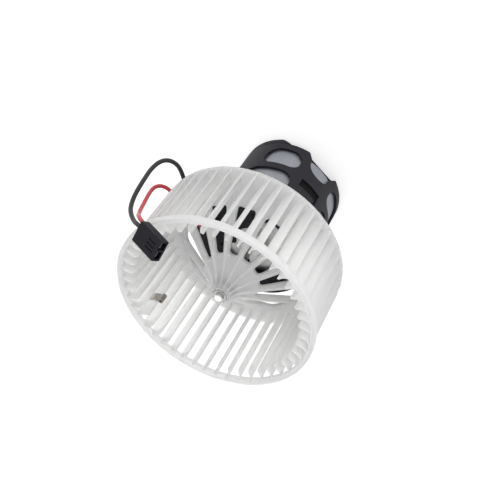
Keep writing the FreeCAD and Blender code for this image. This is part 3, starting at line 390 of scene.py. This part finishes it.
def blades_mesh():
    """All the blades as closed upright prisms."""
    form = bmesh.new()
    low = WHEEL_FRONT - WHEEL_HEIGHT + PLATE_THICKNESS - PLATE_OVERLAP
    high = WHEEL_FRONT - BLADE_TOP_SET
    plain = blade_section(BLADE_INNER, BLADE_LEAN, BLADE_CAMBER, BLADE_THICKNESS)
    clipped = blade_section(CLIP_BLADE_INNER, CLIP_BLADE_LEAN, CLIP_BLADE_CAMBER, CLIP_BLADE_THICKNESS)
    held = clip_blade_index()
    for index in range(BLADE_COUNT):
        turn = Matrix.Rotation(math.radians(blade_angle(index)), 2)
        corners = [turn @ corner for corner in (clipped if index == held else plain)]
        rows = [[form.verts.new((corner.x * MM, corner.y * MM, height * MM)) for corner in corners]
                for height in (low, high)]
        count = len(corners)
        for corner in range(count):
            after = (corner + 1) % count
            form.faces.new((rows[0][corner], rows[0][after], rows[1][after], rows[1][corner]))
        form.faces.new(rows[1])
        form.faces.new(rows[0][::-1])
    return mesh_from(form, "blades")


def old_blades_mesh():
    """The room of the solids' blades and ring above the rear plate."""
    inner = CLIP_BLADE_INNER - OLD_BLADE_ROOM_INSIDE
    outer = RING_RADIUS + OLD_BLADE_ROOM
    low = WHEEL_FRONT - WHEEL_HEIGHT + PLATE_THICKNESS
    high = WHEEL_FRONT + OLD_BLADE_ROOM
    return lathe_mesh("old_blades", [(inner, low), (outer, low), (outer, high), (inner, high)])


def chamfer_mesh():
    """What is cut off the inner corners of the blades' tips."""
    inner = CLIP_BLADE_INNER - CHAMFER_ROOM_INSIDE
    tips = WHEEL_FRONT - BLADE_TOP_SET
    low = tips - TIP_CHAMFER_DEPTH
    high = WHEEL_FRONT + CHAMFER_ROOM_ABOVE
    return lathe_mesh("chamfer", [
        (inner, low), (BLADE_INNER, low), (TIP_CHAMFER_RADIUS, tips), (TIP_CHAMFER_RADIUS, high), (inner, high),
    ])


def hoop_mesh():
    """The front ring: rounded in front, with a sloping back towards the blades."""
    inner = RING_RADIUS - RING_WIDTH
    low = WHEEL_FRONT - RING_HEIGHT
    return lathe_mesh("hoop", [
        (inner, low + RING_HEIGHT * RING_INNER_START),
        (inner, WHEEL_FRONT - RING_ROUND),
        (inner + RING_ROUND_SIDE, WHEEL_FRONT - RING_ROUND_DROP),
        (inner + RING_ROUND, WHEEL_FRONT),
        (RING_RADIUS - RING_ROUND, WHEEL_FRONT),
        (RING_RADIUS - RING_ROUND_SIDE, WHEEL_FRONT - RING_ROUND_DROP),
        (RING_RADIUS, WHEEL_FRONT - RING_ROUND),
        (RING_RADIUS, low + RING_LOW_CHAMFER),
        (RING_RADIUS - RING_LOW_CHAMFER, low),
        (RING_RADIUS - RING_LOW_WIDTH, low),
    ])


def make_wheel(material):
    """The wheel of the solids, with blades that curve as the photograph's do."""
    mesh = combine(frame["nodes"]["fan_wheel"].data.copy(), old_blades_mesh(), "DIFFERENCE")
    mesh = combine(mesh, combine(blades_mesh(), chamfer_mesh(), "DIFFERENCE"), "UNION")
    mesh = combine(mesh, hoop_mesh(), "UNION")
    mesh.materials.clear()
    mesh.materials.append(material)
    mesh.polygons.foreach_set("material_index", [0] * len(mesh.polygons))
    mesh.polygons.foreach_set("use_smooth", [True] * len(mesh.polygons))
    mesh.set_sharp_from_angle(angle=math.radians(SMOOTH_ANGLE))
    return new_object("fan_wheel_look", mesh)


def make_clip(material):
    """The balance clip of the solids, turned with its blade."""
    angle = blade_angle(clip_blade_index())
    mesh = frame["nodes"]["balance_clip"].data.copy()
    mesh.transform(Matrix.Rotation(math.radians(angle - CLIP_BLADE_ANGLE), 4, "Z"))
    mesh.materials.clear()
    mesh.materials.append(material)
    return new_object("balance_clip_look", mesh)


# Leads

def port_point(share, along=0.0):
    """A point on a lead's line into the connector."""
    direction = PLUG_ALONG.normalized()
    across = (PLUG_ACROSS - direction * PLUG_ACROSS.dot(direction)).normalized()
    outward = direction.cross(across)
    corner = PLUG_CORNER + Vector((0, 0, WHEEL_FRONT)) - outward * PLUG_DEPTH
    return corner + direction * along + across * (PLUG_WIDTH * share) + outward * (PLUG_DEPTH / 2)


def exit_point(side, diameter):
    """Where a lead leaves the block on the cover."""
    start = Vector((-EXIT_SUNK, side * EXIT_PITCH / 2, COVER_TOP + diameter / 2 + OVER_COVER))
    place = Matrix.Rotation(math.radians(EXIT_ANGLE), 3, "Z") @ Vector((EXIT_RADIUS, 0.0, 0.0))
    return place + Matrix.Rotation(math.radians(HEADING), 3, "Z") @ start


def curve_length(lead):
    """The length in metres of a lead's centre line, read before the curve has a bevel."""
    mesh = bpy.data.meshes.new_from_object(lead)
    places = [point.co for point in mesh.vertices]
    total = sum((places[start] - places[end]).length
                for start, end in (edge.vertices for edge in mesh.edges))
    bpy.data.meshes.remove(mesh)
    return total


def make_lead(name, side, route, share, approach, diameter, material):
    """One lead as a smooth curve along its route, with its exit and its length in metres."""
    points = [exit_point(side, diameter)]
    points += [Vector((x, y, z + WHEEL_FRONT)) for x, y, z in route]
    points += [port_point(share, -approach), port_point(share, SEAL_LENGTH)]
    curve = bpy.data.curves.new(name, "CURVE")
    curve.dimensions = "3D"
    spline = curve.splines.new("NURBS")
    spline.points.add(len(points) - 1)
    for target, point in zip(spline.points, points):
        target.co = (*(point * MM), 1.0)
        target.radius = diameter / 2 * MM
    spline.order_u = 3
    spline.use_endpoint_u = True
    spline.resolution_u = LEAD_STEPS
    lead = new_object(name, curve)
    length = curve_length(lead)
    # The points' radius carries the thickness, so that the curve's box is no larger than the lead.
    curve.bevel_depth = 1.0
    curve.bevel_resolution = LEAD_ROUND_STEPS
    curve.use_fill_caps = True
    curve.materials.append(material)
    return lead, tuple(points[0] * MM), length


# Camera, lights and floor

def make_camera():
    """The photograph's camera."""
    data = bpy.data.cameras.new("camera")
    data.lens = CAMERA_LENS
    data.sensor_width = SENSOR
    data.clip_start = CAMERA_CLIP_START
    camera = new_object("camera", data)
    turn = Matrix((CAMERA_RIGHT, CAMERA_UP, CAMERA_BACK)).transposed()
    camera.matrix_world = Matrix.Translation(Vector(CAMERA_PLACE) * MM) @ turn.to_4x4()
    bpy.context.scene.camera = camera


def make_lamp(name, place, power, size):
    """A square soft light aimed at the part."""
    data = bpy.data.lights.new(name, "AREA")
    data.energy = power
    data.size = size
    lamp = new_object(name, data)
    lamp.location = place
    aim = Vector(LAMP_AIM) - Vector(place)
    lamp.rotation_euler = aim.to_track_quat("-Z", "Y").to_euler()


def seen_plainly(tree, seen, other, output):
    """Shows one shader to camera, glossy and transmission rays, and another to the rest."""
    path = tree.nodes.new("ShaderNodeLightPath")
    camera_or_glossy = tree.nodes.new("ShaderNodeMath")
    camera_or_glossy.operation = "MAXIMUM"
    any_of_three = tree.nodes.new("ShaderNodeMath")
    any_of_three.operation = "MAXIMUM"
    tree.links.new(path.outputs["Is Camera Ray"], camera_or_glossy.inputs[0])
    tree.links.new(path.outputs["Is Glossy Ray"], camera_or_glossy.inputs[1])
    tree.links.new(camera_or_glossy.outputs[0], any_of_three.inputs[0])
    tree.links.new(path.outputs["Is Transmission Ray"], any_of_three.inputs[1])
    mix = tree.nodes.new("ShaderNodeMixShader")
    tree.links.new(any_of_three.outputs[0], mix.inputs["Fac"])
    tree.links.new(other, mix.inputs[1])
    tree.links.new(seen, mix.inputs[2])
    tree.links.new(mix.outputs[0], output)


def make_world():
    """A plain white world like a studio's white walls: brighter low down than overhead, and seen white."""
    world = bpy.data.worlds.new("world")
    bpy.context.scene.world = world
    world.use_nodes = True
    tree = world.node_tree
    tree.nodes.clear()
    output = tree.nodes.new("ShaderNodeOutputWorld")
    light = tree.nodes.new("ShaderNodeBackground")
    light.inputs["Color"].default_value = WHITE
    place = tree.nodes.new("ShaderNodeTexCoord")
    split = tree.nodes.new("ShaderNodeSeparateXYZ")
    fade = tree.nodes.new("ShaderNodeMapRange")
    fade.inputs["From Min"].default_value = 0.0
    fade.inputs["From Max"].default_value = WORLD_TURN
    fade.inputs["To Min"].default_value = WORLD_HORIZON
    fade.inputs["To Max"].default_value = WORLD_TOP
    tree.links.new(place.outputs["Generated"], split.inputs["Vector"])
    tree.links.new(split.outputs["Z"], fade.inputs["Value"])
    tree.links.new(fade.outputs["Result"], light.inputs["Strength"])
    seen = tree.nodes.new("ShaderNodeBackground")
    seen.inputs["Color"].default_value = WHITE
    seen.inputs["Strength"].default_value = 1.0
    seen_plainly(tree, seen.outputs[0], light.outputs[0], output.inputs["Surface"])


def make_floor():
    """A plain pale floor that shows nearly white and keeps the part's soft shadow."""
    bpy.ops.mesh.primitive_plane_add(size=FLOOR_SIZE, location=(0, 0, 0))
    floor = bpy.context.active_object
    floor.name = "floor"
    material = bpy.data.materials.new("floor_paper")
    material.use_nodes = True
    tree = material.node_tree
    tree.nodes.clear()
    output = tree.nodes.new("ShaderNodeOutputMaterial")
    paper = tree.nodes.new("ShaderNodeBsdfDiffuse")
    paper.inputs["Color"].default_value = FLOOR_COLOUR
    glow = tree.nodes.new("ShaderNodeEmission")
    glow.inputs["Color"].default_value = WHITE
    glow.inputs["Strength"].default_value = FLOOR_GLOW
    both = tree.nodes.new("ShaderNodeAddShader")
    tree.links.new(paper.outputs[0], both.inputs[0])
    tree.links.new(glow.outputs[0], both.inputs[1])
    seen_plainly(tree, both.outputs[0], paper.outputs[0], output.inputs["Surface"])
    floor.data.materials.append(material)


def stand_in(piece, body, node):
    """Puts a piece in the place of a CAD node, on the node's body."""
    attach(piece, body)
    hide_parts(node)


make_materials()
dress_nodes()
lead_black, black_exit, black_length = make_lead(
    "lead_black_curve", -1, BLACK_ROUTE, BLACK_PORT, BLACK_APPROACH, BLACK_DIAMETER, materials["lead_black"])
lead_red, red_exit, red_length = make_lead(
    "lead_red_curve", 1, RED_ROUTE, RED_PORT, RED_APPROACH, RED_DIAMETER, materials["lead_red"])
stand_in(lead_black, "housing", "lead_black")
stand_in(lead_red, "housing", "lead_red")
stand_in(make_wheel(materials["wheel_plastic"]), "rotor", "fan_wheel")
stand_in(make_clip(materials["clip_steel"]), "rotor", "balance_clip")
make_camera()
make_world()
make_lamp("key", KEY_PLACE, KEY_POWER, KEY_SIZE)
make_lamp("fill", FILL_PLACE, FILL_POWER, FILL_SIZE)
make_lamp("back", BACK_PLACE, BACK_POWER, BACK_SIZE)
make_floor()
bpy.context.scene.view_settings.view_transform = "Standard"
